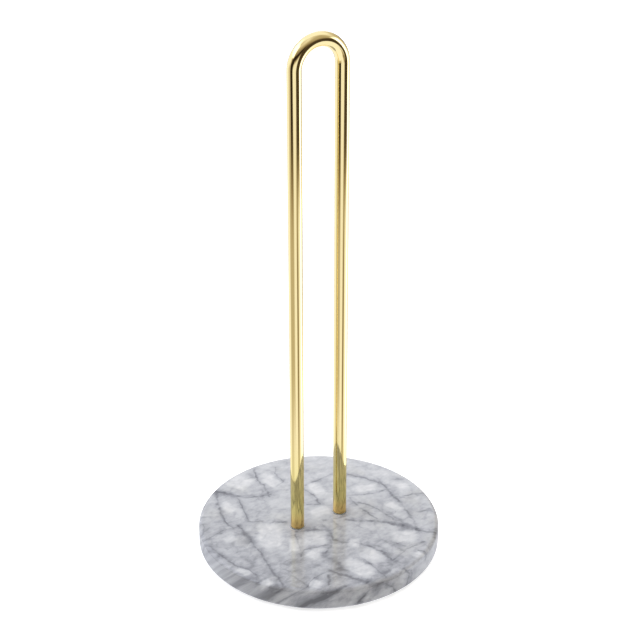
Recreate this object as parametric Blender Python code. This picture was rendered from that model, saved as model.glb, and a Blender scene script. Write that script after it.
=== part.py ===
"""Free-standing paper towel holder: a marble disc with a bent brass rod loop screwed to it from below.

Metres, +Z up. The origin is on the counter, under the centre of the disc. The loop lies in the XZ plane,
with one leg at +X and one at -X.
"""

from math import cos, pi, radians, sin

import bmesh
import bpy
from mathutils import Matrix, Vector

# Overall sizes
OVERALL_HEIGHT = 0.3365
STONE_DIAMETER = 0.1524
STONE_THICKNESS = 0.014
STONE_TOP_FILLET = 0.0030
STONE_BOTTOM_FILLET = 0.0025

# Loop
ROD_DIAMETER = 0.0085
LEG_SPACING = 0.0315
ROD_END_CHAMFER = 0.0004

# Fixing hardware, one set under each leg
SCREW_DIAMETER = 0.005
SCREW_HEAD_DIAMETER = 0.0095
SCREW_HEAD_HEIGHT = 0.0033
SCREW_HEAD_ROUNDING = 0.0012
SCREW_POINT_CHAMFER = 0.0006
THREAD_ENGAGEMENT = 0.0089
THREAD_RUN_OUT = 0.0015
RECESS_DEPTH = 0.0019
RECESS_ARM_LENGTH = 0.0023
RECESS_ARM_WIDTH = 0.0011
RECESS_TAPER = 0.45
FLAT_WASHER_THICKNESS = 0.0010
FLAT_WASHER_RIM = 0.0022
FLAT_WASHER_CHAMFER = 0.00015
LOCK_WASHER_THICKNESS = 0.0012
LOCK_WASHER_RIM = 0.0017
LOCK_WASHER_SLIT = 0.0008
LOCK_WASHER_SLIT_LEAN = 0.0007
SEAT_WASHER_THICKNESS = 0.0004
SEAT_WASHER_OVERHANG = 0.0004
COUNTERBORE_DEPTH = 0.0070

# Rubber feet
FOOT_DIAMETER = 0.012
FOOT_HEIGHT = 0.0020
FOOT_ROUNDING = 0.0007
FOOT_INSET = 0.020

# Clearances
FACE_GAP = 0.0003
THREAD_CLEARANCE = 0.0003
WASHER_BORE_CLEARANCE = 0.0003
STONE_HOLE_CLEARANCE = 0.0007
COUNTERBORE_CLEARANCE = 0.0010

# Smoothness
STONE_SIDES = 96
ROD_SIDES = 32
BEND_STEPS = 40
ROUND_SIDES = 32
FILLET_STEPS = 5
SMOOTH_ANGLE = radians(35)
MERGE_DISTANCE = 0.000001

# Heights, from the counter up
STONE_BOTTOM_Z = FOOT_HEIGHT + FACE_GAP
STONE_TOP_Z = STONE_BOTTOM_Z + STONE_THICKNESS
SEAT_WASHER_Z = STONE_TOP_Z + FACE_GAP
ROD_END_Z = SEAT_WASHER_Z + SEAT_WASHER_THICKNESS + FACE_GAP
COUNTERBORE_TOP_Z = STONE_BOTTOM_Z + COUNTERBORE_DEPTH
FLAT_WASHER_Z = COUNTERBORE_TOP_Z - FACE_GAP - FLAT_WASHER_THICKNESS
LOCK_WASHER_Z = FLAT_WASHER_Z - FACE_GAP - LOCK_WASHER_THICKNESS
HEAD_UNDERSIDE_Z = LOCK_WASHER_Z - FACE_GAP
SCREW_TIP_Z = ROD_END_Z + THREAD_ENGAGEMENT
TAPPED_HOLE_TOP_Z = SCREW_TIP_Z + THREAD_RUN_OUT

# Radii that several pieces share
ROD_RADIUS = ROD_DIAMETER / 2
BEND_RADIUS = LEG_SPACING / 2
BEND_CENTRE_Z = OVERALL_HEIGHT - ROD_RADIUS - BEND_RADIUS
SCREW_RADIUS = SCREW_DIAMETER / 2
WASHER_BORE_RADIUS = SCREW_RADIUS + WASHER_BORE_CLEARANCE
FLAT_WASHER_RADIUS = WASHER_BORE_RADIUS + FLAT_WASHER_RIM
TAPPED_HOLE_RADIUS = SCREW_RADIUS + THREAD_CLEARANCE
STONE_HOLE_RADIUS = SCREW_RADIUS + STONE_HOLE_CLEARANCE
COUNTERBORE_RADIUS = max(FLAT_WASHER_RADIUS, SCREW_HEAD_DIAMETER / 2) + COUNTERBORE_CLEARANCE

LEGS = {"left": -BEND_RADIUS, "right": BEND_RADIUS}
CUTTER_OVERRUN = 0.001


def clear_scene():
    for old in list(bpy.data.objects):
        bpy.data.objects.remove(old, do_unlink=True)


def make_material(name, colour, roughness, metallic):
    material = bpy.data.materials.new(name)
    material.use_nodes = True
    shader = material.node_tree.nodes["Principled BSDF"]
    shader.inputs["Base Color"].default_value = (*colour, 1)
    shader.inputs["Roughness"].default_value = roughness
    shader.inputs["Metallic"].default_value = metallic
    return material


def add_object(name, bm, material, location=(0, 0, 0)):
    """Turns a bmesh into a smooth-shaded object with outward faces."""
    bmesh.ops.recalc_face_normals(bm, faces=bm.faces[:])
    mesh = bpy.data.meshes.new(name)
    bm.to_mesh(mesh)
    bm.free()
    mesh.shade_smooth()
    mesh.set_sharp_from_angle(angle=SMOOTH_ANGLE)
    obj = bpy.data.objects.new(name, mesh)
    obj.location = location
    if material:
        mesh.materials.append(material)
    bpy.context.scene.collection.objects.link(obj)
    return obj


def arc(centre, radius, start, end, steps=FILLET_STEPS):
    """Points (r, z) along an arc in a turned profile, angles in degrees."""
    angles = [radians(start + (end - start) * i / steps) for i in range(steps + 1)]
    return [(centre[0] + radius * cos(a), centre[1] + radius * sin(a)) for a in angles]


def turned(profile, sides=ROUND_SIDES):
    """A profile of (r, z) points turned about Z. Open ends are capped flat; a ring's first point repeats."""
    bm = bmesh.new()
    points = [bm.verts.new((r, 0, z)) for r, z in profile]
    edges = [bm.edges.new(pair) for pair in zip(points, points[1:])]
    bmesh.ops.spin(bm, geom=points + edges, cent=(0, 0, 0), axis=(0, 0, 1), angle=2 * pi, steps=sides)
    bmesh.ops.remove_doubles(bm, verts=bm.verts[:], dist=MERGE_DISTANCE)
    rims = [edge for edge in bm.edges if edge.is_boundary]
    bmesh.ops.holes_fill(bm, edges=rims, sides=0)
    return bm


def ring_profile(inner, outer, thickness, chamfer=0):
    """The closed section of a washer, with a chamfer on its outer corners."""
    corners = [(inner, 0), (outer - chamfer, 0), (outer, chamfer), (outer, thickness - chamfer)]
    corners += [(outer - chamfer, thickness), (inner, thickness)]
    corners = [c for i, c in enumerate(corners) if i == 0 or c != corners[i - 1]]
    return corners + corners[:1]


def cut(obj, cutter):
    """Takes the cutter's shape out of the object, and leaves the cutter as a wire guide."""
    cutter.hide_render = True
    cutter.display_type = "WIRE"
    modifier = obj.modifiers.new("cut " + cutter.name, "BOOLEAN")
    modifier.operation = "DIFFERENCE"
    modifier.solver = "EXACT"
    modifier.object = cutter


def make_base(marble):
    """A disc with rounded rims and a counterbored clearance hole under each leg."""
    radius = STONE_DIAMETER / 2
    top = (radius - STONE_TOP_FILLET, STONE_TOP_Z - STONE_TOP_FILLET)
    bottom = (radius - STONE_BOTTOM_FILLET, STONE_BOTTOM_Z + STONE_BOTTOM_FILLET)
    profile = arc(top, STONE_TOP_FILLET, 90, 0) + arc(bottom, STONE_BOTTOM_FILLET, 0, -90)
    base = add_object("marble_base", turned(profile, STONE_SIDES), marble)
    hole = [
        (STONE_HOLE_RADIUS, STONE_TOP_Z + CUTTER_OVERRUN),
        (STONE_HOLE_RADIUS, COUNTERBORE_TOP_Z),
        (COUNTERBORE_RADIUS, COUNTERBORE_TOP_Z),
        (COUNTERBORE_RADIUS, STONE_BOTTOM_Z - CUTTER_OVERRUN),
    ]
    for side, x in LEGS.items():
        cut(base, add_object("stone_hole_" + side, turned(hole), None, (x, 0, 0)))


def make_rod(brass):
    """A circle spun half a turn for the bend, then drawn straight down for each leg and chamfered."""
    bm = bmesh.new()
    start = Matrix.Translation((BEND_RADIUS, 0, BEND_CENTRE_Z))
    bmesh.ops.create_circle(bm, segments=ROD_SIDES, radius=ROD_RADIUS, matrix=start)
    bend = (0, 0, BEND_CENTRE_Z)
    bmesh.ops.spin(bm, geom=bm.edges[:], cent=bend, axis=(0, 1, 0), angle=-pi, steps=BEND_STEPS)
    tip = (ROD_RADIUS - ROD_END_CHAMFER) / ROD_RADIUS
    for x in LEGS.values():
        ring = [e for e in bm.edges if e.is_boundary and e.verts[0].co.x * x > 0]
        for end_z, scale in ((ROD_END_Z + ROD_END_CHAMFER, 1), (ROD_END_Z, tip)):
            grown = bmesh.ops.extrude_edge_only(bm, edges=ring)["geom"]
            ring = [g for g in grown if isinstance(g, bmesh.types.BMEdge)]
            for vert in {v for edge in ring for v in edge.verts}:
                across = (vert.co - Vector((x, 0, 0))) * scale
                vert.co = (x + across.x, across.y, end_z)
        bmesh.ops.holes_fill(bm, edges=ring, sides=0)
    rod = add_object("loop_rod", bm, brass)
    tapped_hole = [
        (0, TAPPED_HOLE_TOP_Z + TAPPED_HOLE_RADIUS / 2),
        (TAPPED_HOLE_RADIUS, TAPPED_HOLE_TOP_Z),
        (TAPPED_HOLE_RADIUS, ROD_END_Z - CUTTER_OVERRUN),
    ]
    for side, x in LEGS.items():
        cut(rod, add_object("tapped_hole_" + side, turned(tapped_hole), None, (x, 0, 0)))


def cross_recess():
    """A plus-shaped pocket that narrows as it goes up into the screw head."""
    bm = bmesh.new()
    length, half = RECESS_ARM_LENGTH, RECESS_ARM_WIDTH / 2
    quarter = [Vector((length, -half, 0)), Vector((length, half, 0)), Vector((half, half, 0))]
    outline = [Matrix.Rotation(k * pi / 2, 3, "Z") @ p for k in range(4) for p in quarter]
    mouth = bm.faces.new([bm.verts.new(p) for p in outline])
    grown = bmesh.ops.extrude_face_region(bm, geom=[mouth])["geom"]
    for vert in (g for g in grown if isinstance(g, bmesh.types.BMVert)):
        vert.co = (vert.co.x * RECESS_TAPER, vert.co.y * RECESS_TAPER, RECESS_DEPTH + CUTTER_OVERRUN)
    bmesh.ops.translate(bm, verts=bm.verts[:], vec=(0, 0, -CUTTER_OVERRUN))
    return bm


def make_screw(side, x, steel):
    """Pan-head machine screw, head down, with its thread as a plain shank."""
    head_radius = SCREW_HEAD_DIAMETER / 2
    head_z = HEAD_UNDERSIDE_Z - SCREW_HEAD_HEIGHT
    corner = (head_radius - SCREW_HEAD_ROUNDING, head_z + SCREW_HEAD_ROUNDING)
    profile = [(SCREW_RADIUS - SCREW_POINT_CHAMFER, SCREW_TIP_Z)]
    profile += [(SCREW_RADIUS, SCREW_TIP_Z - SCREW_POINT_CHAMFER), (SCREW_RADIUS, HEAD_UNDERSIDE_Z)]
    profile += [(head_radius, HEAD_UNDERSIDE_Z)] + arc(corner, SCREW_HEAD_ROUNDING, 0, -90)
    screw = add_object("screw_" + side, turned(profile), steel, (x, 0, 0))
    cut(screw, add_object("cross_recess_" + side, cross_recess(), None, (x, 0, head_z)))


def make_lock_washer(side, x, steel):
    """A split ring of square section whose slit leans, as on a spring washer pressed flat."""
    middle = WASHER_BORE_RADIUS + LOCK_WASHER_RIM / 2
    slit, lean = LOCK_WASHER_SLIT / middle, LOCK_WASHER_SLIT_LEAN / middle
    outer = WASHER_BORE_RADIUS + LOCK_WASHER_RIM
    bm = bmesh.new()
    section = []
    for r, z in ring_profile(WASHER_BORE_RADIUS, outer, LOCK_WASHER_THICKNESS)[:-1]:
        angle = slit / 2 + lean * (z / LOCK_WASHER_THICKNESS - 0.5)
        section.append(bm.verts.new((r * cos(angle), r * sin(angle), z)))
    face = bm.faces.new(section)
    sweep = 2 * pi - slit
    bmesh.ops.spin(bm, geom=[face], cent=(0, 0, 0), axis=(0, 0, 1), angle=sweep, steps=ROUND_SIDES)
    add_object("lock_washer_" + side, bm, steel, (x, 0, LOCK_WASHER_Z))


def make_fixings(side, x, steel, nylon):
    """The screw and its three washers under one leg."""
    make_screw(side, x, steel)
    make_lock_washer(side, x, steel)
    flat = ring_profile(WASHER_BORE_RADIUS, FLAT_WASHER_RADIUS, FLAT_WASHER_THICKNESS, FLAT_WASHER_CHAMFER)
    add_object("flat_washer_" + side, turned(flat), steel, (x, 0, FLAT_WASHER_Z))
    seat = ring_profile(WASHER_BORE_RADIUS, ROD_RADIUS + SEAT_WASHER_OVERHANG, SEAT_WASHER_THICKNESS)
    add_object("seat_washer_" + side, turned(seat), nylon, (x, 0, SEAT_WASHER_Z))


def make_feet(rubber):
    """Four round bumpers in a square pattern, each rounded where it meets the counter."""
    radius = FOOT_DIAMETER / 2
    corner = (radius - FOOT_ROUNDING, FOOT_ROUNDING)
    profile = [(radius, FOOT_HEIGHT)] + arc(corner, FOOT_ROUNDING, 0, -90)
    reach = (STONE_DIAMETER / 2 - FOOT_INSET) * cos(pi / 4)
    for row, y in (("front", -reach), ("back", reach)):
        for side, x in (("left", -reach), ("right", reach)):
            add_object(f"foot_{row}_{side}", turned(profile), rubber, (x, y, 0))


def main():
    clear_scene()
    marble = make_material("marble", (0.68, 0.69, 0.71), 0.25, 0)
    brass = make_material("polished_brass", (0.80, 0.58, 0.24), 0.12, 1)
    steel = make_material("zinc_steel", (0.55, 0.56, 0.58), 0.3, 1)
    nylon = make_material("clear_nylon", (0.78, 0.78, 0.74), 0.4, 0)
    rubber = make_material("grey_rubber", (0.06, 0.06, 0.065), 0.8, 0)
    make_base(marble)
    make_rod(brass)
    for side, x in LEGS.items():
        make_fixings(side, x, steel, nylon)
    make_feet(rubber)


main()
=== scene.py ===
import math

import bpy
import numpy as np
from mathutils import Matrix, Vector


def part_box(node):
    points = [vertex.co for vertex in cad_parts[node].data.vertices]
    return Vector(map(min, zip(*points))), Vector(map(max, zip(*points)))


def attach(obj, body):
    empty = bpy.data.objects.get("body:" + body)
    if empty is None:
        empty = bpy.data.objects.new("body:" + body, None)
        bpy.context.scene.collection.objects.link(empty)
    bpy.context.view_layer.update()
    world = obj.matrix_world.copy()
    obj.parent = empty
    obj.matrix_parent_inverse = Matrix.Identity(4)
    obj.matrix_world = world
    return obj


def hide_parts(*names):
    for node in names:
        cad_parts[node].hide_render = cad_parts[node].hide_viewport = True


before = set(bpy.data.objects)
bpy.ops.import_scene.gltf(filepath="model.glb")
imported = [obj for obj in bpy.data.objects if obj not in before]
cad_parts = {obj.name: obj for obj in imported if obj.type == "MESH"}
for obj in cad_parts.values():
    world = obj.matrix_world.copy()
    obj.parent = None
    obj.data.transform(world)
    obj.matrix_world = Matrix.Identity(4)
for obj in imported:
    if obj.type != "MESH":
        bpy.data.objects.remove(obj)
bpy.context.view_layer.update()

# Paper towel holder: a marble disc, a polished brass hairpin loop, and the fixings between them.
# Metres, +Z up. The loop lies in the XZ plane; every place and size below comes from the CAD boxes.

mm = 0.001
baseLow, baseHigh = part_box("marble_base")
rodLow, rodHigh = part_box("loop_rod")
screwLow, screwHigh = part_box("screw_right")
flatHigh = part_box("flat_washer_right")[1]
lockLow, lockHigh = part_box("lock_washer_right")
legX = (screwLow.x + screwHigh.x) / 2
legSides = {"left": -legX, "right": legX}
rodRadius = rodHigh.y
bendCentreZ = rodHigh.z - rodRadius - legX
cadGap = 0.3 * mm  # what the CAD leaves between two pieces that touch
headUnderside = lockLow.z - cadGap
seatThickness = 0.4 * mm
seatTop = baseHigh.z + seatThickness


# Surfaces
weldDistance = 0.00001 * mm
creaseAngle = math.radians(38)


def weldedMesh(name, points, faces):
    # Points within the weld distance become one, quads become pairs of triangles, and slivers go.
    keys = np.round(points / weldDistance).astype(np.int64)
    first, index = np.unique(keys, axis=0, return_index=True, return_inverse=True)[1:]
    index = index.reshape(-1)
    triangles = np.concatenate([faces[:, [0, 1, 2]], faces[:, [0, 2, 3]]])
    triangles = index[triangles]
    a, b, c = triangles.T
    triangles = triangles[(a != b) & (b != c) & (c != a)]
    mesh = bpy.data.meshes.new(name)
    mesh.from_pydata(points[first].tolist(), [], triangles.tolist())
    mesh.validate()
    return mesh


def gridPiece(name, grid, closedAround=True):
    # grid[i, j] is a point: i runs along the piece and j runs round it, so each cell is one quad.
    along, around = grid.shape[:2]
    cellsAround = around if closedAround else around - 1
    i, j = np.meshgrid(np.arange(along - 1), np.arange(cellsAround), indexing="ij")
    here, above = i * around, (i + 1) * around
    nextJ = (j + 1) % around
    faces = np.stack([here + j, here + nextJ, above + nextJ, above + j], -1)
    mesh = weldedMesh(name, grid.reshape(-1, 3), faces.reshape(-1, 4))
    mesh.shade_smooth()
    mesh.set_sharp_from_angle(angle=creaseAngle)
    piece = bpy.data.objects.new(name, mesh)
    bpy.context.scene.collection.objects.link(piece)
    return piece


def circleAngles(sides):
    # Even steps round a full turn.
    return np.arange(sides) * 2 * np.pi / sides


def ringGrid(centreX, centreY, radii, heights):
    # One ring of points for each height: x = centre + r cos a, y = centre + r sin a, z = the height.
    angles = circleAngles(radii.shape[1])
    upright = heights[:, None] * np.ones(len(angles))
    return np.stack([centreX + radii * np.cos(angles), centreY + radii * np.sin(angles), upright], -1)


def turnedPiece(name, profile, sides, centreX=0.0, centreY=0.0, wobble=None):
    # Each profile point (r, z) goes round the upright axis at the centre. The profile starts on the axis at
    # the bottom and runs up the outside, which turns the faces outwards.
    r, z = np.asarray(profile, float).T
    radii = r[:, None] * np.ones(sides)
    if wobble is not None:
        radii = radii + wobble(r[:, None], z[:, None], circleAngles(sides)[None, :])
    return gridPiece(name, ringGrid(centreX, centreY, radii, z))


def withLids(grid):
    # Closes both ends of a grid with fans round the middle of its first and last ring.
    lids = grid[[0, -1]].mean(axis=1, keepdims=True) * np.ones((1, grid.shape[1], 1))
    return np.concatenate([lids[:1], grid, lids[1:]])


def arcPoints(centreR, centreZ, radius, startDeg, endDeg, steps):
    # Even steps of a along an arc: r = centre + radius cos a, z = centre + radius sin a.
    a = np.radians(np.linspace(startDeg, endDeg, steps + 1))
    return list(zip(centreR + radius * np.cos(a), centreZ + radius * np.sin(a)))


def cutAway(piece, cutters):
    # Takes the cutters out of the piece for good, and keeps its creases sharp.
    for cutter in cutters:
        hole = piece.modifiers.new("hole", "BOOLEAN")
        hole.operation = "DIFFERENCE"
        hole.object = cutter
    evaluated = piece.evaluated_get(bpy.context.evaluated_depsgraph_get())
    finished = bpy.data.meshes.new_from_object(evaluated)
    piece.modifiers.clear()
    piece.data = finished
    finished.shade_smooth()
    finished.set_sharp_from_angle(angle=creaseAngle)
    for cutter in cutters:
        bpy.data.objects.remove(cutter)
    return piece


def finishPiece(piece, material, slotName, *nodeNames):
    piece.data.materials.clear()
    piece.data.materials.append(material)
    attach(piece, "root")
    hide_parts(*nodeNames)
    print("made", piece.name)
    return piece


# Node helpers. Materials measure the place on the object in millimetres.
numberSocket, vectorSocket = "NodeSocketFloat", "NodeSocketVector"


def feed(tree, node, inputs):
    # Each input is either another node's output, which is linked, or a value, which is set.
    for key, value in inputs.items():
        if isinstance(value, bpy.types.NodeSocket):
            tree.links.new(value, node.inputs[key])
        else:
            node.inputs[key].default_value = value


def addNode(tree, kind, inputs={}, **settings):
    node = tree.nodes.new(kind)
    for key, value in settings.items():
        setattr(node, key, value)
    feed(tree, node, inputs)
    return node


def doMath(tree, operation, *values, clamp=False):
    inputs = dict(enumerate(values))
    return addNode(tree, "ShaderNodeMath", inputs, operation=operation, use_clamp=clamp).outputs[0]


def doVector(tree, operation, *values):
    node = addNode(tree, "ShaderNodeVectorMath", dict(enumerate(values)), operation=operation)
    return node.outputs["Value" if operation in ("DOT_PRODUCT", "LENGTH") else "Vector"]


def scaleVector(tree, vector, factor):
    node = addNode(tree, "ShaderNodeVectorMath", {0: vector, "Scale": factor}, operation="SCALE")
    return node.outputs["Vector"]


def softStep(tree, value, low, high, start=0.0, end=1.0):
    # Runs smoothly from start to end as value goes from low to high.
    inputs = {"Value": value, "From Min": low, "From Max": high, "To Min": start, "To Max": end}
    return addNode(tree, "ShaderNodeMapRange", inputs, interpolation_type="SMOOTHSTEP").outputs["Result"]


def noise(tree, vector, scale, detail=3.0, roughness=0.5, output="Fac"):
    inputs = {"Vector": vector, "Scale": scale, "Detail": detail, "Roughness": roughness}
    return addNode(tree, "ShaderNodeTexNoise", inputs).outputs[output]


def separate(tree, vector):
    return addNode(tree, "ShaderNodeSeparateXYZ", {0: vector}).outputs


def combine(tree, *values):
    return addNode(tree, "ShaderNodeCombineXYZ", dict(enumerate(values))).outputs[0]


def addBump(tree, shader, height, strength, distance):
    bump = addNode(tree, "ShaderNodeBump", {"Strength": strength, "Distance": distance, "Height": height})
    tree.links.new(bump.outputs[0], shader.inputs["Normal"])


def colourRamp(tree, value, stops):
    node = addNode(tree, "ShaderNodeValToRGB", {"Fac": value})
    elements = node.color_ramp.elements
    while len(elements) < len(stops):
        elements.new(0.5)
    for element, (position, colour) in zip(elements, stops):
        element.position = position
        element.color = (*colour, 1)
    return node.outputs["Color"]


def mixColour(tree, factor, a, b, blend="MIX"):
    # Sockets 0, 6 and 7 of the Mix node are its factor and its two colours.
    a, b = (c if isinstance(c, bpy.types.NodeSocket) else (*c, 1) for c in (a, b))
    settings = {"data_type": "RGBA", "blend_type": blend, "clamp_factor": True}
    return addNode(tree, "ShaderNodeMix", {0: factor, 6: a, 7: b}, **settings).outputs[2]


def newMaterial(name):
    material = bpy.data.materials.new(name)
    material.use_nodes = True
    tree = material.node_tree
    shader = tree.nodes["Principled BSDF"]
    place = addNode(tree, "ShaderNodeTexCoord").outputs["Object"]
    placeMm = scaleVector(tree, place, 1 / mm)
    return material, tree, shader, placeMm


def newGroup(name, inputs, outputs):
    group = bpy.data.node_groups.new(name, "ShaderNodeTree")
    for label, kind in inputs:
        group.interface.new_socket(label, in_out="INPUT", socket_type=kind)
    for label, kind in outputs:
        group.interface.new_socket(label, in_out="OUTPUT", socket_type=kind)
    return group, addNode(group, "NodeGroupInput").outputs, addNode(group, "NodeGroupOutput").inputs


def placeGroup(tree, group, inputs):
    return addNode(tree, "ShaderNodeGroup", inputs, node_tree=group).outputs


# A vein is a crack filled with darker mineral. The vector that goes through the runs one after another
# holds the place in X and Y, and in Z the nearest vein so far, counted in vein widths: the distance from
# the place to the line between From and To, over Width. A faint vein counts as a little further off.
def makeVeinRun():
    inputs = [("Place", vectorSocket), ("From", vectorSocket), ("To", vectorSocket)]
    inputs += [("Width", numberSocket), ("Faintness", numberSocket)]
    group, given, result = newGroup("veinRun", inputs, [("Place", vectorSocket)])
    run = doVector(group, "SUBTRACT", given["To"], given["From"])
    reach = doVector(group, "SUBTRACT", given["Place"], given["From"])
    along = doVector(group, "DOT_PRODUCT", reach, run)
    share = doMath(group, "DIVIDE", along, doVector(group, "DOT_PRODUCT", run, run), clamp=True)
    offset = doVector(group, "SUBTRACT", reach, scaleVector(group, run, share))
    away = doVector(group, "LENGTH", doVector(group, "MULTIPLY", offset, (1, 1, 0)))
    widths = doMath(group, "ADD", doMath(group, "DIVIDE", away, given["Width"]), given["Faintness"])
    x, y, soFar = separate(group, given["Place"])
    passed = combine(group, x, y, doMath(group, "MINIMUM", widths, soFar))
    group.links.new(passed, result["Place"])
    return group


# A fragment of purer, paler stone: a turned box, whose measure is the larger of the two distances from its
# centre along its own sides, each over its half length, so it is 1 on the outline. Its corners are rounded
# by the smooth maximum. Z holds the smallest measure so far.
def makePalePocket():
    inputs = [(label, vectorSocket) for label in ("Place", "Centre", "SideA", "SideB")]
    inputs += [("Faintness", numberSocket)]
    group, given, result = newGroup("palePocket", inputs, [("Place", vectorSocket)])
    offset = doVector(group, "SUBTRACT", given["Place"], given["Centre"])
    alongA = doMath(group, "ABSOLUTE", doVector(group, "DOT_PRODUCT", offset, given["SideA"]))
    alongB = doMath(group, "ABSOLUTE", doVector(group, "DOT_PRODUCT", offset, given["SideB"]))
    measure = doMath(group, "ADD", doMath(group, "SMOOTH_MAX", alongA, alongB, 0.35), given["Faintness"])
    x, y, soFar = separate(group, given["Place"])
    passed = combine(group, x, y, doMath(group, "MINIMUM", measure, soFar))
    group.links.new(passed, result["Place"])
    return group


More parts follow.
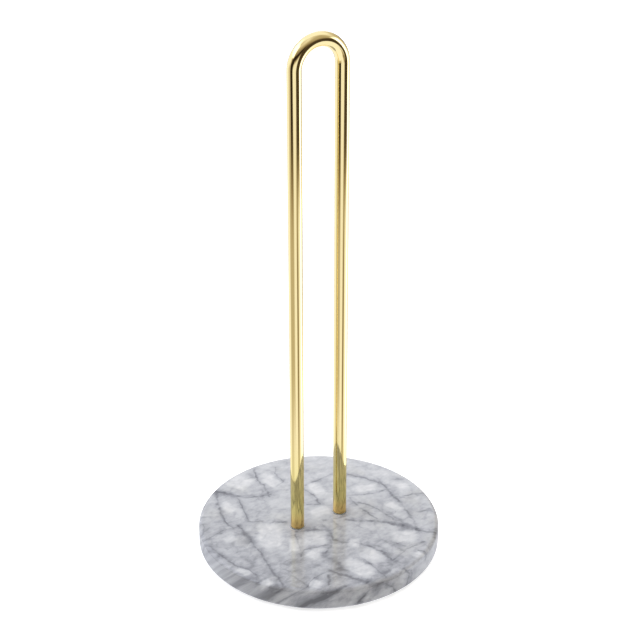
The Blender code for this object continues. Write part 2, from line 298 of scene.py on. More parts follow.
# Marble. Veins, bands and pockets are laid out on the top face in millimetres from the disc's centre, and
# run down through the stone at a slant, so they carry on over the rim and down the side.
marble = {
    "slant": (0.13, -1.02),
    # width, strength, path
    "veins": [
        (2.0, 0.75, [(-50, 72), (-41, 62), (-35, 55)]),
        (1.5, 0.8, [(-36, 55), (-28, 46), (-20, 42), (-12, 40)]),
        (1.4, 0.75, [(-41, 61), (-44, 54), (-49, 41), (-53, 28), (-52, 20)]),
        (1.3, 0.45, [(-33, 47), (-36, 33), (-39, 20), (-30, 13), (-20, 8)]),
        (1.7, 0.6, [(-47, 21), (-49, 0), (-50, -15), (-53, -30), (-54, -43), (-57, -51)]),
        (1.7, 0.9, [(-56, -50), (-62, -54), (-72, -58)]),
        (1.5, 0.6, [(-78, 16), (-73, 11), (-72, -5), (-69, -16), (-65, -22), (-64, -30)]),
        (2.0, 0.9, [(-20, -5), (-14, -7), (-7, -10), (-2, -14), (-5, -24), (-1, -30)]),
        (1.6, 0.8, [(-1, -30), (5, -34), (10, -42), (14, -50), (15, -62)]),
        (1.6, 0.6, [(-6, -23), (-11, -30), (-16, -35)]),
        (1.8, 0.95, [(-24, -50), (-21, -57), (-16, -64), (-11, -72)]),
        (2.0, 0.9, [(14, -10), (24, -18), (34, -26), (41, -35)]),
        (1.5, 0.8, [(46, -44), (54, -51), (62, -57)]),
        (1.7, 0.8, [(57, 14), (55, -2), (54, -14), (51, -30), (48, -40), (46, -44)]),
        (1.3, 0.7, [(29, 13), (37, 9), (46, 6), (56, 4)]),
        (1.2, 0.8, [(29, 12), (29, -6), (31, -20)]),
        (1.7, 0.7, [(31, 2), (37, -7), (39, -18), (41, -28)]),
        (1.6, 0.5, [(42, 35), (49, 25), (57, 12)]),
        (1.4, 0.7, [(9, 37), (11, 23), (9, 13), (2, 17)]),
        (1.2, 0.5, [(11, 37), (20, 38), (33, 39), (42, 35)]),
        (1.6, 0.7, [(-4, 76), (-10, 63), (-11, 51), (-14, 38)]),
        (1.2, 0.5, [(7, 67), (3, 60), (3, 48), (-8, 46)]),
        (1.5, 0.7, [(56, -4), (60, -7), (68, -10), (76, -13)]),
        (1.3, 0.7, [(15, -62), (22, -60), (30, -57), (43, -56)]),
        (1.1, 0.6, [(-57, -60), (-45, -57), (-35, -52), (-26, -50)]),
        (1.5, 0.9, [(-31, -62), (-27, -54)]),
        (1.3, 0.7, [(-31, -29), (-26, -25), (-18, -26), (-10, -27)]),
        (1.4, 0.4, [(0, -46), (1, -60), (2, -74)]),
        (1.2, 0.5, [(-46, 20), (-60, 20), (-73, 17)]),
        (1.3, 0.5, [(-22, -7), (-25, -16), (-28, -24)]),
        (1.2, 0.6, [(30, -54), (27, -50), (25, -46)]),
        (1.3, 0.5, [(58, -27), (63, -29), (67, -34)]),
        (1.1, 0.7, [(34, -62), (37, -66), (36, -72)]),
        (1.2, 0.6, [(66, 12), (74, 8)]),
        (1.0, 0.6, [(-76, 20), (-70, 24), (-66, 33)]),
        (1.3, 0.8, [(16, -73), (20, -79), (18, -86)]),
        (1.8, 1.0, [(-25, -69), (-34, -71), (-43, -70), (-52, -73)]),
        (1.6, 0.8, [(-11, -80), (-17, -86)]),
        (1.2, 0.6, [(-66, -38), (-74, -30)]),
        (1.4, 0.6, [(-5, -76), (6, -84), (12, -92)]),
    ],
    # Wide soft stains along the old cracks.
    "bands": [
        (6.0, 1.0, [(-46, 66), (-37, 56)]),
        (5.0, 0.6, [(-33, 47), (-36, 33), (-39, 20)]),
        (5.5, 0.6, [(-47, 20), (-48, 2)]),
        (6.5, 0.55, [(-62, -4), (-60, -22)]),
        (6.0, 0.6, [(42, 35), (50, 24), (57, 10)]),
        (5.0, 0.4, [(18, 38), (33, 38)]),
        (6.5, 0.9, [(-18, -36), (-15, -46), (-16, -56)]),
        (6.0, 0.6, [(-40, -42), (-28, -42)]),
        (6.0, 0.7, [(37, -28), (44, -38), (48, -44)]),
        (5.0, 0.5, [(41, -14), (43, -30)]),
        (5.5, 0.7, [(58, -50), (52, -56)]),
        (5.0, 0.6, [(26, -58), (24, -50)]),
        (7.0, 0.6, [(16, -64), (2, -72), (-8, -74)]),
        (6.0, 0.8, [(-66, -33), (-72, -30)]),
        (6.5, 1.0, [(-62, -48), (-70, -54)]),
        (5.0, 1.0, [(-32, -70), (-46, -70)]),
        (6.0, 0.9, [(-9, -73), (-5, -82)]),
        (5.0, 0.8, [(-13, -82), (-18, -88)]),
        (7.0, 0.6, [(18, -76), (30, -78)]),
        (4.5, 0.8, [(60, -52), (66, -58)]),
        (4.0, 0.6, [(-62, 41), (-58, 38)]),
        (4.5, 0.5, [(-26, 12), (-20, 8)]),
        (4.0, 0.5, [(-68, 26), (-64, 28)]),
        (4.0, 0.6, [(3, -4), (-1, -3)]),
        (4.0, 0.5, [(56, -6), (60, -9)]),
        (6.0, 0.5, [(-52, -26), (-38, -32)]),
        (5.5, 0.5, [(-76, -10), (-80, -20)]),
    ],
    # centre, half lengths, turn in degrees, strength
    "pockets": [
        ((-36, 0), (8, 13), -30, 1.0),
        ((-14, -17), (8, 9), -30, 0.75),
        ((-21, -31), (9, 5), 20, 0.65),
        ((-4, 52), (5, 8), 10, 0.8),
        ((17, 29), (5, 10), -8, 0.7),
        ((-7, -58), (6, 11), 22, 0.95),
        ((6, -52), (6, 9), 15, 0.9),
        ((35, -45), (9, 8), -30, 0.6),
        ((45, 13), (8, 4.5), -20, 0.6),
        ((-43, 41), (5, 8), 15, 0.55),
        ((-22, 63), (8, 8), 30, 0.8),
        ((4, 6), (9, 7), 0, 0.55),
        ((-38, -57), (5, 5), 30, 0.6),
        ((-68, -24), (3, 6), 20, 0.6),
        ((-62, -41), (4, 4), 0, 0.6),
        ((-28, -17), (5, 10), -35, 0.45),
        ((5, -34), (6, 5), 40, 0.5),
        ((48, -14), (4, 8), 10, 0.45),
        ((66, 2), (6, 5), 0, 0.4),
        ((31, -66), (4, 4), 20, 0.6),
        ((22, 12), (5, 4), 0, 0.45),
        ((-59, 10), (6, 5), 0, 0.4),
        ((30, 24), (5, 8), -20, 0.4),
    ],
    "pocketFading": 0.6,
    # Two sizes of wander: noise scale, detail, roughness, reach in millimetres.
    "wanders": [(0.07, 2.0, 0.5, 4.0), (0.28, 3.0, 0.55, 2.4)],
    # What each mark adds to the tone, which runs from 0, darkest vein, to 1, purest white.
    "ground": 0.23,
    "clouds": 0.55,
    "fragments": 0.09,
    "mottle": 0.40,
    "grain": 0.10,
    "pale": 0.23,
    "band": -0.24,
    "halo": -0.10,
    "flecks": -0.07,
    "hairlines": -0.09,
    "line": -0.28,
    # The slab grows paler towards one corner, by this much a millimetre.
    "palerTowards": (0.0013, 0.0012, 0.0),
    "toneColours": [
        (0.0, (0.087, 0.088, 0.095)),
        (0.25, (0.186, 0.189, 0.202)),
        (0.55, (0.373, 0.377, 0.385)),
        (0.80, (0.512, 0.511, 0.507)),
        (1.0, (0.596, 0.592, 0.580)),
    ],
    "ironStain": (1.0, 0.985, 0.93),
    "roughness": 0.12,
    "lineRoughness": 0.08,
    "rimRoughness": 0.18,
    "mottleRoughness": 0.04,
}


def nearestRun(tree, start, group, runs):
    # Passes the place through one vein group for every straight run, and gives the nearest in widths.
    passed = start
    for width, strength, path in runs:
        for begin, end in zip(path, path[1:]):
            inputs = {"Place": passed, "From": (*begin, 0), "To": (*end, 0), "Width": width}
            passed = placeGroup(tree, group, {**inputs, "Faintness": 1 - strength})[0]
    return separate(tree, passed)[2]


def makeMarbleMaterial():
    material, tree, shader, place = newMaterial("veinedMarble")
    x, y, z = separate(tree, place)
    depth = doMath(tree, "SUBTRACT", baseHigh.z / mm, z)
    slantX, slantY = marble["slant"]
    slantedX = doMath(tree, "MULTIPLY_ADD", depth, slantX, x)
    slantedY = doMath(tree, "MULTIPLY_ADD", depth, slantY, y)
    slanted = combine(tree, slantedX, slantedY)

    # Both wanders bend every straight run into a crack's path.
    warped = slanted
    for scale, detail, roughness, reach in marble["wanders"]:
        wander = noise(tree, slanted, scale, detail, roughness, output="Color")
        offset = doVector(tree, "SUBTRACT", wander, (0.5, 0.5, 0.5))
        warped = doVector(tree, "ADD", warped, scaleVector(tree, offset, reach))

    # Every vein, band and pocket in turn, starting far from all of them.
    farAway = 99.0
    warpedX, warpedY = separate(tree, warped)[:2]
    start = combine(tree, warpedX, warpedY, farAway)
    veinRun, palePocket = makeVeinRun(), makePalePocket()
    veinWidths = nearestRun(tree, start, veinRun, marble["veins"])
    bandWidths = nearestRun(tree, start, veinRun, marble["bands"])
    passed = start
    for centre, (halfA, halfB), turn, strength in marble["pockets"]:
        c, s = math.cos(math.radians(turn)), math.sin(math.radians(turn))
        inputs = {
            "Place": passed,
            "Centre": (*centre, 0),
            "SideA": (c / halfA, s / halfA, 0),
            "SideB": (-s / halfB, c / halfB, 0),
            "Faintness": (1 - strength) * marble["pocketFading"],
        }
        passed = placeGroup(tree, palePocket, inputs)[0]
    line = softStep(tree, veinWidths, 0.0, 1.2, 1.0, 0.0)
    halo = softStep(tree, veinWidths, 0.0, 3.6, 1.0, 0.0)
    band = softStep(tree, bandWidths, 0.0, 1.0, 1.0, 0.0)
    pale = softStep(tree, separate(tree, passed)[2], 0.7, 1.25, 1.0, 0.0)
    broken = softStep(tree, noise(tree, slanted, 0.16, 2.0), 0.34, 0.62, 0.25, 1.0)

    # Broken stone between the veins: each fragment has its own tone, with hairlines round it.
    cells = addNode(tree, "ShaderNodeTexVoronoi", {"Vector": warped, "Scale": 0.075, "Randomness": 1.0})
    fragmentTone = addNode(tree, "ShaderNodeSeparateColor", {0: cells.outputs["Color"]}).outputs[0]
    cracks = addNode(
        tree, "ShaderNodeTexVoronoi", {"Vector": warped, "Scale": 0.09}, feature="DISTANCE_TO_EDGE"
    ).outputs["Distance"]
    patchy = softStep(tree, noise(tree, slanted, 0.06, 2.0), 0.40, 0.60)
    hairlines = doMath(tree, "MULTIPLY", softStep(tree, cracks, 0.0, 0.13, 1.0, 0.0), patchy)

    # Clouds, and finer marks that are drawn out along the bed of the stone.
    clouds = noise(tree, warped, 0.11, 4.0, 0.6)
    bed = {"Vector": warped, "Rotation": (0, 0, math.radians(-32)), "Scale": (0.5, 1.0, 1.0)}
    stretched = addNode(tree, "ShaderNodeMapping", bed).outputs[0]
    mottle = noise(tree, stretched, 0.36, 4.0, 0.62)
    flecks = softStep(tree, noise(tree, stretched, 0.55, 3.0, 0.6), 0.60, 0.78)
    grain = noise(tree, place, 2.2, 2.0, 0.6)

    marks = {
        "clouds": clouds,
        "fragments": fragmentTone,
        "mottle": doMath(tree, "SUBTRACT", mottle, 0.5),
        "grain": doMath(tree, "SUBTRACT", grain, 0.5),
        "pale": pale,
        "band": band,
        "halo": halo,
        "flecks": flecks,
        "hairlines": hairlines,
        "line": doMath(tree, "MULTIPLY", line, broken),
    }
    tone = doVector(tree, "DOT_PRODUCT", place, marble["palerTowards"])
    tone = doMath(tree, "ADD", tone, marble["ground"])
    for mark, mask in marks.items():
        tone = doMath(tree, "MULTIPLY_ADD", mask, marble[mark], tone, clamp=mark == "line")
    colour = colourRamp(tree, tone, marble["toneColours"])
    # A little iron stains the stone warm in a few places.
    warmth = softStep(tree, noise(tree, slanted, 0.045, 2.0), 0.52, 0.70, 0.0, 0.5)
    colour = mixColour(tree, warmth, colour, marble["ironStain"], "MULTIPLY")
    tree.links.new(colour, shader.inputs["Base Color"])

    # The rim is honed rather than polished.
    rim = softStep(tree, depth, 0.5, 3.0)
    rough = doMath(tree, "MULTIPLY_ADD", line, marble["lineRoughness"], marble["roughness"])
    rough = doMath(tree, "MULTIPLY_ADD", rim, marble["rimRoughness"], rough)
    rough = doMath(tree, "MULTIPLY_ADD", mottle, marble["mottleRoughness"], rough)
    tree.links.new(rough, shader.inputs["Roughness"])
    addBump(tree, shader, tone, 0.05, 0.2 * mm)
    return material


disc = {
    "topFillet": 3.0 * mm,
    "bottomFillet": 2.5 * mm,
    "sides": 360,
    "filletSteps": 14,
    "flatEdge": 0.4 * mm,
    "handWobble": 0.05 * mm,
    "holeRadius": 3.2 * mm,
    "boreRadius": 6.0 * mm,
    "boreDepth": 7.0 * mm,
    "holeEdge": 0.25 * mm,
    "holeSides": 96,
}


def makeDisc():
    # The turned profile runs along the bottom, round the lower edge, up the side and over the top edge.
    radius = baseHigh.x
    low, high = baseLow.z, baseHigh.z
    top, bottom = disc["topFillet"], disc["bottomFillet"]
    steps, flatEdge = disc["filletSteps"], disc["flatEdge"]
    profile = [(0, low), (radius * 0.5, low), (radius - bottom - flatEdge, low)]
    profile += arcPoints(radius - bottom, low + bottom, bottom, -90, 0, steps)
    profile += arcPoints(radius - top, high - top, top, 0, 90, steps)
    profile += [(radius - top - flatEdge, high), (radius * 0.5, high), (0, high)]

    # The rim was eased by hand, so it runs in and out by a few hundredths of a millimetre, as the sum of
    # three sines of the angle, but never past the true circle.
    def wobble(r, z, a):
        wave = np.sin(3 * a + 1.0) + 0.6 * np.sin(7 * a + 2.0) + 0.4 * np.sin(17 * a)
        onRim = np.clip((r - radius + max(top, bottom)) / max(top, bottom), 0, 1)
        return onRim * disc["handWobble"] * (wave / 2.0 - 1.0) / 2

    piece = turnedPiece("marbleDisc", profile, disc["sides"], wobble=wobble)
    # Each hole is a wide bore from below and a narrow one above it, cut a millimetre past both faces.
    bore, hole, edge = disc["boreRadius"], disc["holeRadius"], disc["holeEdge"]
    boreTop = low + disc["boreDepth"]
    outline = [(0, low - mm), (bore + edge + mm, low - mm), (bore, low + edge), (bore, boreTop)]
    outline += [(hole, boreTop), (hole, high + mm), (0, high + mm)]
    cutters = []
    for side, x in legSides.items():
        cutters.append(turnedPiece("holeCutter" + side, outline, disc["holeSides"], x))
    return cutAway(piece, cutters)


# Brass loop
brass = {
    "sides": 96,
    "bendStations": 128,
    "legStations": 28,
    "endChamfer": 0.4 * mm,
    "holeRadius": 2.8 * mm,
    "holePastScrew": 2.0 * mm,
    "colour": (0.885, 0.738, 0.380),
    "smudgeTint": (0.89, 0.71, 0.30),
    "smudgeShare": 0.3,
    # Painted reflection: low down the brass is tinted olive and, by the stone, orange, in place of the
    # shaded stone it mirrors there: tint, share, and the heights above the end, in millimetres, between
    # which it fades out.
    "lowTint": (0.76, 0.645, 0.22),
    "lowShare": 0.85,
    "lowFade": (12.0, 75.0),
    "footTint": (0.80, 0.51, 0.18),
    "footShare": 0.75,
    "footFade": (0.0, 14.0),
    "roughness": 0.045,
    "lineRoughness": 0.03,
    "smudgeRoughness": 0.02,
}


def makeRod():
    # Up one leg, over the bend and down the other. A station at (x, z), tilted by t, carries the ring
    # (x + r cos a cos t, r sin a, z + r cos a sin t).
    chamfer = brass["endChamfer"]
    angles = circleAngles(brass["sides"])
    legZ = np.linspace(seatTop + chamfer, bendCentreZ, brass["legStations"])
    bendTilt = np.linspace(0, np.pi, brass["bendStations"] + 1)
    leg = np.ones(len(legZ) - 1)
    x = np.concatenate([legX * leg, legX * np.cos(bendTilt), -legX * leg])
    z = np.concatenate([legZ[:-1], bendCentreZ + legX * np.sin(bendTilt), legZ[::-1][1:]])
    tilt = np.concatenate([0 * leg, bendTilt, np.pi * leg])[:, None]
    outward = rodRadius * np.cos(angles)
    across = rodRadius * np.sin(angles) * np.ones(tilt.shape)
    ringX, ringZ = x[:, None] + outward * np.cos(tilt), z[:, None] + outward * np.sin(tilt)
    outside = np.stack([ringX, across, ringZ], -1)

    # Each end turns in over its chamfer, goes up the tapped hole and closes at the drill's point.
    hole = brass["holeRadius"]
    holeTop = screwHigh.z + brass["holePastScrew"]
    endRadii = np.array([rodRadius - chamfer, hole, hole, 0.0])[:, None] * np.ones(len(angles))
    endHeights = np.array([seatTop, seatTop, holeTop, holeTop + hole / 2])
    firstEnd = ringGrid(legX, 0.0, endRadii, endHeights)
    lastEnd = firstEnd * (-1, 1, 1)
    grid = np.concatenate([firstEnd[::-1], outside, lastEnd])
    return gridPiece("brassLoop", grid)


def makeBrassMaterial():
    material, tree, shader, place = newMaterial("polishedBrass")
    shader.inputs["Metallic"].default_value = 1.0
    drawn = addNode(tree, "ShaderNodeMapping", {"Vector": place, "Scale": (3.0, 3.0, 0.06)}).outputs[0]
    polishLines = noise(tree, drawn, 1.0, 3.0, 0.6)
    smudges = noise(tree, place, 0.06, 3.0, 0.55)
    height = doMath(tree, "SUBTRACT", separate(tree, place)[2], rodLow.z / mm)
    share = doMath(tree, "MULTIPLY", smudges, brass["smudgeShare"])
    colour = mixColour(tree, share, brass["colour"], brass["smudgeTint"])
    # Painted reflection: the colour darkens to olive low down and to orange by the stone, where the brass
    # mirrors the shaded stone.
    for paintedReflectionZone in ("low", "foot"):
        share = softStep(tree, height, *brass[paintedReflectionZone + "Fade"], brass[paintedReflectionZone + "Share"], 0.0)
        colour = mixColour(tree, share, colour, brass[paintedReflectionZone + "Tint"])
    tree.links.new(colour, shader.inputs["Base Color"])
    rough = doMath(tree, "MULTIPLY_ADD", polishLines, brass["lineRoughness"], brass["roughness"])
    rough = doMath(tree, "MULTIPLY_ADD", smudges, brass["smudgeRoughness"], rough)
    tree.links.new(rough, shader.inputs["Roughness"])
    addBump(tree, shader, polishLines, 0.03, 0.1 * mm)
    return material


# Fixings. They are drawn up tight, so every face touches the next, from the counterbore's ceiling down.
fixings = {
    "flatThickness": 1.0 * mm,
    "lockThickness": 1.2 * mm,
    "lockSlit": 0.8 * mm,
    "lockRise": 0.12 * mm,
    "headHeight": 3.3 * mm,
    "headRadius": 4.75 * mm,
    "headRounding": 1.2 * mm,
    "headEdge": 0.2 * mm,
    "shankRadius": 2.5 * mm,
    "tipChamfer": 0.6 * mm,
    "threadPitch": 0.8 * mm,
    "threadDepth": 0.43 * mm,
    "stationsPerTurn": 12,
    "recessDepth": 1.9 * mm,
    "recessArm": 2.3 * mm,
    "recessHalfWidth": 0.55 * mm,
    "recessTaper": 0.45,
    "washerPlay": 0.15 * mm,
    "seatPastRod": 0.25 * mm,
    "edge": 0.12 * mm,
    "sides": 72,
    # The steel's zinc and the nylon.
    "zincBloom": [(0.3, (0.48, 0.50, 0.53)), (0.55, (0.60, 0.61, 0.62)), (0.8, (0.66, 0.65, 0.60))],
    "zincRoughness": 0.20,
    "nylonShades": [(0.62, 0.65, 0.56), (0.72, 0.74, 0.66)],
    "nylonRoughness": 0.22,
    "nylonClearness": 0.6,
    "nylonIor": 1.53,
}
boreCeiling = baseLow.z + disc["boreDepth"]
washerHole = fixings["shankRadius"] + fixings["washerPlay"]


def ringProfile(inner, outer, low, high, edge):
    # A closed rectangle with eased corners, from the inner bottom corner out, up and back.
    profile = [(inner + edge, low), (outer - edge, low), (outer, low + edge), (outer, high - edge)]
    profile += [(outer - edge, high), (inner + edge, high), (inner, high - edge), (inner, low + edge)]
    return profile + profile[:1]


def makeFlatWasher(name, x):
    low = boreCeiling - fixings["flatThickness"]
    profile = ringProfile(washerHole, flatHigh.x - legX, low, boreCeiling, fixings["edge"])
    return turnedPiece(name, profile, fixings["sides"], x)


def makeLockWasher(name, x):
    # A square wire's section carried round from one side of the slit to the other, rising as it goes, with
    # a lid over each end: z = z of the section + rise * (angle / full turn - 1/2).
    outer, rise = lockHigh.x - legX, fixings["lockRise"]
    top = boreCeiling - fixings["flatThickness"]
    low = top - fixings["lockThickness"]
    r, z = np.array(ringProfile(washerHole, outer, low + rise, top - rise, fixings["edge"])[:-1]).T
    halfSlit = fixings["lockSlit"] / (washerHole + outer)
    angles = np.linspace(halfSlit, 2 * np.pi - halfSlit, fixings["sides"])[:, None]
    lift = rise * (angles / np.pi - 1) / 2
    grid = np.stack([x + r * np.cos(angles), r * np.sin(angles), z + lift], -1)
    return gridPiece(name, withLids(grid)[::-1])


def makeRecessCutter(name, x, face):
    # A cross that tapers almost to a point as it goes in: its outline is the further of two bars,
    # r(a) = max(min(L / |cos a|, w / |sin a|), min(L / |sin a|, w / |cos a|)).
    justOffAxis = 0.001
    angles = circleAngles(96) + justOffAxis
    c, s = np.abs(np.cos(angles)), np.abs(np.sin(angles))
    arm, half, depth = fixings["recessArm"], fixings["recessHalfWidth"], fixings["recessDepth"]
    outline = np.maximum(np.minimum(arm / c, half / s), np.minimum(arm / s, half / c))
    heights = face + np.array([-0.5 * mm, 0.0, depth * 0.75, depth])
    rings = outline * np.array([1.0, 1.0, fixings["recessTaper"], 0.05])[:, None]
    upright = heights[:, None] * np.ones(len(angles))
    grid = np.stack([x + rings * np.cos(angles), rings * np.sin(angles), upright], -1)
    return gridPiece(name, withLids(grid))


def makeScrew(name, x):
    # Turned from the head's face up to the tip, with a helical thread cut into the shank.
    underside = boreCeiling - fixings["flatThickness"] - fixings["lockThickness"]
    face = underside - fixings["headHeight"]
    tip = underside + screwHigh.z - headUnderside
    head, rounding, edge = fixings["headRadius"], fixings["headRounding"], fixings["headEdge"]
    shank, pitch, depth = fixings["shankRadius"], fixings["threadPitch"], fixings["threadDepth"]
    stations = int((tip - underside) / pitch * fixings["stationsPerTurn"])
    threadZ = np.linspace(underside + pitch / 2, tip - 0.5 * mm, stations)
    profile = [(0, face), (head - rounding, face)]
    profile += arcPoints(head - rounding, face + rounding, rounding, -80, 0, 8)
    profile += [(head, underside - edge), (head - edge, underside), (shank, underside)]
    profile += list(zip(np.full(stations, shank), threadZ))
    profile += [(shank - fixings["tipChamfer"], tip), (0, tip)]

    # A 60-degree thread: the radius falls from the crest to the root and back once a pitch, and the pattern
    # climbs one pitch a turn, so the cut is depth * ramp(height / pitch - angle / full turn).
    def thread(r, z, a):
        phase = np.mod(z / pitch - a / (2 * np.pi), 1.0)
        cut = depth * np.clip(np.abs(phase - 0.5) * 2.4 - 0.15, 0, 1)
        onShank = (z > threadZ[1]) & (z < threadZ[-2]) & (np.abs(r - shank) < 0.001 * mm)
        return np.where(onShank, -cut, 0.0)

    piece = turnedPiece(name, profile, fixings["sides"], x, wobble=thread)
    return cutAway(piece, [makeRecessCutter(name + "Recess", x, face)])


def makeSeatWasher(name, x):
    outer = rodRadius + fixings["seatPastRod"]
    profile = ringProfile(disc["holeRadius"], outer, baseHigh.z, seatTop, fixings["edge"])
    return turnedPiece(name, profile, fixings["sides"], x)


# Rubber feet
foot = {
    "radius": 6.0 * mm,
    "faceRadius": 4.2 * mm,
    "rounding": 0.9 * mm,
    "dish": 0.15 * mm,
    "sides": 96,
    "rubber": (0.030, 0.030, 0.032),
    "dust": (0.115, 0.112, 0.105),
    "dustShare": 0.35,
    "roughness": 0.62,
    "dustRoughness": 0.15,
}


def makeFoot(name, x, y):
    # A moulded pad stuck to the stone: a slightly dished face, a rounded edge and a leaning wall, turned.
    radius, face, rounding, dish = foot["radius"], foot["faceRadius"], foot["rounding"], foot["dish"]
    edgeCentre = radius - 0.25 * mm - rounding
    profile = [(0, dish), (face * 0.5, dish * 0.8), (face, 0.0)]
    profile += arcPoints(edgeCentre, rounding, rounding, -90, -6, 8)
    profile += [(radius - 0.05 * mm, baseLow.z - 0.25 * mm), (radius, baseLow.z), (0, baseLow.z)]
    return turnedPiece(name, profile, foot["sides"], x, y)


# Turning or moulding marks run round an upright axis: noise over the distance from it and the height.
def makeRoundMarks():
    inputs = [("Place", vectorSocket), ("Axis X", numberSocket), ("Scale", numberSocket)]
    group, given, result = newGroup("roundMarks", inputs, [("Marks", numberSocket)])
    x, y, z = separate(group, given["Place"])
    side = doMath(group, "SUBTRACT", doMath(group, "ABSOLUTE", x), given["Axis X"])
    fromAxis = doVector(group, "LENGTH", combine(group, side, y))
    marks = noise(group, combine(group, fromAxis, z), given["Scale"], 3.0, 0.6)
    group.links.new(marks, result["Marks"])
    return group


def makeSteelMaterial():
    material, tree, shader, place = newMaterial("zincPlatedSteel")
    shader.inputs["Metallic"].default_value = 1.0
    marks = placeGroup(tree, roundMarks, {"Place": place, "Axis X": legX / mm, "Scale": 4.0})[0]
    bloom = noise(tree, place, 0.7, 3.0, 0.6)
    tree.links.new(colourRamp(tree, bloom, fixings["zincBloom"]), shader.inputs["Base Color"])
    rough = doMath(tree, "MULTIPLY_ADD", marks, 0.16, fixings["zincRoughness"])
    tree.links.new(doMath(tree, "MULTIPLY_ADD", bloom, 0.10, rough), shader.inputs["Roughness"])
    addBump(tree, shader, marks, 0.12, 0.1 * mm)
    return material


def makeNylonMaterial():
    material, tree, shader, place = newMaterial("clearNylon")
    haze = noise(tree, place, 1.2, 3.0, 0.55)
    marks = placeGroup(tree, roundMarks, {"Place": place, "Axis X": legX / mm, "Scale": 3.0})[0]
    tree.links.new(mixColour(tree, haze, *fixings["nylonShades"]), shader.inputs["Base Color"])
    rough = doMath(tree, "MULTIPLY_ADD", marks, 0.15, fixings["nylonRoughness"])
    tree.links.new(rough, shader.inputs["Roughness"])
    shader.inputs["Transmission Weight"].default_value = fixings["nylonClearness"]
    shader.inputs["IOR"].default_value = fixings["nylonIor"]
    return material


def makeRubberMaterial():
    material, tree, shader, place = newMaterial("footRubber")
    grain = noise(tree, place, 3.5, 3.0, 0.6)
    dust = softStep(tree, noise(tree, place, 0.5, 3.0, 0.6), 0.45, 0.75)
    share = doMath(tree, "MULTIPLY", dust, foot["dustShare"])
    tree.links.new(mixColour(tree, share, foot["rubber"], foot["dust"]), shader.inputs["Base Color"])
    rough = doMath(tree, "MULTIPLY_ADD", dust, foot["dustRoughness"], foot["roughness"])
    tree.links.new(rough, shader.inputs["Roughness"])
    addBump(tree, shader, grain, 0.25, 0.1 * mm)
    return material


roundMarks = makeRoundMarks()
finishPiece(makeDisc(), makeMarbleMaterial(), "marble", "marble_base")
finishPiece(makeRod(), makeBrassMaterial(), "brass_rod", "loop_rod")
steel, nylon, rubber = makeSteelMaterial(), makeNylonMaterial(), makeRubberMaterial()
for side, x in legSides.items():
    label = side.capitalize()
    finishPiece(makeSeatWasher("seatWasher" + label, x), nylon, "clear_nylon", "seat_washer_" + side)
    finishPiece(makeScrew("screw" + label, x), steel, "zinc_steel", "screw_" + side)
    finishPiece(makeLockWasher("lockWasher" + label, x), steel, "zinc_steel", "lock_washer_" + side)
    finishPiece(makeFlatWasher("flatWasher" + label, x), steel, "zinc_steel", "flat_washer_" + side)
for front in ("front", "back"):
    for side in legSides:
        node = "foot_" + front + "_" + side
        footLow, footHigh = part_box(node)
        name = "foot" + front.capitalize() + side.capitalize()
        piece = makeFoot(name, (footLow.x + footHigh.x) / 2, (footLow.y + footHigh.y) / 2)
        finishPiece(piece, rubber, "foot_rubber", node)


# Studio. The camera's azimuth is 0 on the -Y side; its lens and sensor are in millimetres.
studio = {
    "azimuth": -31.94,
    "elevation": 27.58,
    "distance": 0.9717,
    "lens": 91.65,
    "sensor": 36.0,
    "target": (0.0, 0.0, 0.1588),
    "sideStep": 0.83 * mm,
    "floorSize": 8.0,
    "floorShades": [(0.66, 0.66, 0.66), (0.67, 0.67, 0.67)],
    "floorGlow": 0.66,
    "softboxPlace": (-0.3, -0.2, 1.6),
    "softboxSize": 1.4,
    "softboxPower": 13.0,
}


def makeCamera():
    a, e = math.radians(studio["azimuth"]), math.radians(studio["elevation"])
    back = Vector((math.sin(a) * math.cos(e), -math.cos(a) * math.cos(e), math.sin(e)))
    right = Vector((math.cos(a), math.sin(a), 0.0))
    data = bpy.data.cameras.new("camera")
    data.lens = studio["lens"]
    data.sensor_width = studio["sensor"]
    camera = bpy.data.objects.new("camera", data)
    camera.location = Vector(studio["target"]) + back * studio["distance"] + right * studio["sideStep"]
    camera.rotation_euler = (-back).to_track_quat("-Z", "Y").to_euler()
    bpy.context.scene.collection.objects.link(camera)
    bpy.context.scene.camera = camera


def makeFloor():
    # A flat sheet that glows, so the stone leaves hardly any shadow. The brass doesn't see it: it mirrors
    # the studio's cards and table top instead.
    size = studio["floorSize"] / 2
    grid = np.array([[(-size, -size, 0), (size, -size, 0)], [(-size, size, 0), (size, size, 0)]], float)
    floor = gridPiece("floor", grid, closedAround=False)
    material, tree, shader, place = newMaterial("paleFloor")
    colour = mixColour(tree, noise(tree, place, 0.002, 2.0), *studio["floorShades"])
    tree.links.new(colour, shader.inputs["Base Color"])
    shader.inputs["Roughness"].default_value = 0.9
    shader.inputs["Specular IOR Level"].default_value = 0.1
    shader.inputs["Emission Color"].default_value = (1.0, 1.0, 1.0, 1.0)
    shader.inputs["Emission Strength"].default_value = studio["floorGlow"]
    floor.data.materials.append(material)
    floor.visible_glossy = False


def makeSoftbox():
    # A square light overhead that looks at the middle of the floor.
    data = bpy.data.lights.new("softbox", "AREA")
    data.energy = studio["softboxPower"]
    data.shape = "SQUARE"
    data.size = studio["softboxSize"]
    light = bpy.data.objects.new("softbox", data)
    light.location = studio["softboxPlace"]
    light.rotation_euler = (-Vector(studio["softboxPlace"])).to_track_quat("-Z", "Y").to_euler()
    light.visible_glossy = False
    bpy.context.scene.collection.objects.link(light)


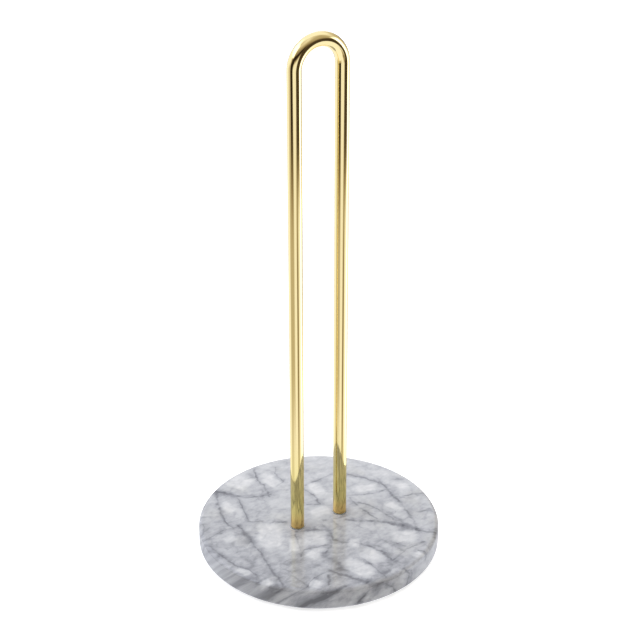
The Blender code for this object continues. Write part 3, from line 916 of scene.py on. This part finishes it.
# What stands round the white table top, each later card in front of the earlier ones: azimuth in degrees,
# with 0 on the near side and positive to the right, elevation, half width, half height, soft edge and
# brightness.
surround = {
    "tableTop": 1.20,
    "cards": {
        "leftWall": (-110, 0, 50, 40, 0.35, 1.24),
        "leftFade": (-70, -18, 22, 18, 0.6, 0.80),
        "rightGap": (135, 15, 26, 22, 0.5, 0.62),
        "nearRoom": (10, 40, 74, 40, 0.3, 0.25),
        "nearCeiling": (10, 72, 75, 26, 1.0, 1.0),
        "lowerLeft": (-48, -26, 32, 5, 0.4, 0.60),
        "darkTop": (2, 14, 57, 11, 0.2, 0.03),
        "rightBounce": (68, 40, 24, 20, 0.8, 0.55),
        "nearReflector": (10, -12, 21, 17, 0.5, 1.10),
        "lowerRight": (36, -28, 13, 5, 0.7, 0.28),
        "darkLeft": (-40, -7, 19, 16, 0.15, 0.03),
        "darkRight": (56, -6, 27, 17, 0.10, 0.07),
        "brightStrip": (97, -7, 15, 28, 0.15, 2.4),
        "leftSoftbox": (-90, 40, 42, 17, 0.3, 2.2),
        "farDarkLeft": (-161, -13, 9, 20, 0.25, 0.06),
        "farShade": (-178, -16, 9, 18, 0.6, 0.55),
        "farDarkRight": (159, -12, 10, 20, 0.25, 0.10),
    },
    # The darkest parts are warm and the brightest a little cool. Each stop is a share of the brightest.
    "brightest": 2.5,
    "tints": [
        (0.0, (1.0, 0.72, 0.45)),
        (0.2, (1.0, 0.89, 0.70)),
        (0.45, (0.97, 1.0, 1.10)),
        (1.0, (0.95, 1.0, 1.16)),
    ],
}


# One card: the larger of the two angles from its centre, each over its half size, is 1 on its outline, and
# the edge fades over its own width on both sides of that.
def makeStudioCard():
    labels = ["Behind", "Azimuth", "Elevation", "To Azimuth", "To Elevation"]
    labels += ["Half Width", "Half Height", "Edge", "Brightness"]
    inputs = [(label, numberSocket) for label in labels]
    group, given, result = newGroup("studioCard", inputs, [("Brightness", numberSocket)])
    offset = doMath(group, "SUBTRACT", given["Azimuth"], given["To Azimuth"])
    aside = doMath(group, "ABSOLUTE", doMath(group, "WRAP", offset, 180.0, -180.0))
    above = doMath(group, "ABSOLUTE", doMath(group, "SUBTRACT", given["Elevation"], given["To Elevation"]))
    acrossShare = doMath(group, "DIVIDE", aside, given["Half Width"])
    measure = doMath(group, "MAXIMUM", acrossShare, doMath(group, "DIVIDE", above, given["Half Height"]))
    inner = doMath(group, "SUBTRACT", 1.0, given["Edge"])
    outer = doMath(group, "ADD", 1.0, given["Edge"])
    share = softStep(group, measure, inner, outer, 1.0, 0.0)
    rest = doMath(group, "MULTIPLY", doMath(group, "SUBTRACT", 1.0, share), given["Behind"])
    brightness = doMath(group, "MULTIPLY_ADD", given["Brightness"], share, rest)
    group.links.new(brightness, result["Brightness"])
    return group


def makeWorld():
    world = bpy.data.worlds.new("studioWorld")
    world.use_nodes = True
    tree = world.node_tree
    background = tree.nodes["Background"]
    # Turned so that azimuth 0 points at the near side of the studio.
    direction = addNode(tree, "ShaderNodeTexCoord").outputs["Generated"]
    turning = {"Vector": direction, "Angle": math.radians(90 - studio["azimuth"])}
    turned = addNode(tree, "ShaderNodeVectorRotate", turning, rotation_type="Z_AXIS").outputs[0]
    x, y, z = separate(tree, turned)
    degrees = 180 / math.pi
    azimuth = doMath(tree, "MULTIPLY", doMath(tree, "ARCTAN2", y, x), degrees)
    elevation = doMath(tree, "MULTIPLY", doMath(tree, "ARCSINE", z), degrees)

    card = makeStudioCard()
    brightness = surround["tableTop"]
    for toAzimuth, toElevation, halfWidth, halfHeight, edge, value in surround["cards"].values():
        inputs = {
            "Behind": brightness,
            "Azimuth": azimuth,
            "Elevation": elevation,
            "To Azimuth": toAzimuth,
            "To Elevation": toElevation,
            "Half Width": halfWidth,
            "Half Height": halfHeight,
            "Edge": edge,
            "Brightness": value,
        }
        brightness = placeGroup(tree, card, inputs)[0]
    tint = colourRamp(tree, doMath(tree, "DIVIDE", brightness, surround["brightest"]), surround["tints"])

    # Past the floor's edge the camera sees plain white: only the brass and the stone see the cards.
    seen = addNode(tree, "ShaderNodeLightPath").outputs["Is Camera Ray"]
    shortOfWhite = doMath(tree, "SUBTRACT", 1.0, brightness)
    strength = doMath(tree, "MULTIPLY_ADD", shortOfWhite, seen, brightness)
    tree.links.new(mixColour(tree, seen, tint, (1.0, 1.0, 1.0)), background.inputs["Color"])
    tree.links.new(strength, background.inputs["Strength"])
    bpy.context.scene.world = world


makeCamera()
makeFloor()
makeWorld()
makeSoftbox()
bpy.context.scene.view_settings.view_transform = "Standard"
print("made studio")
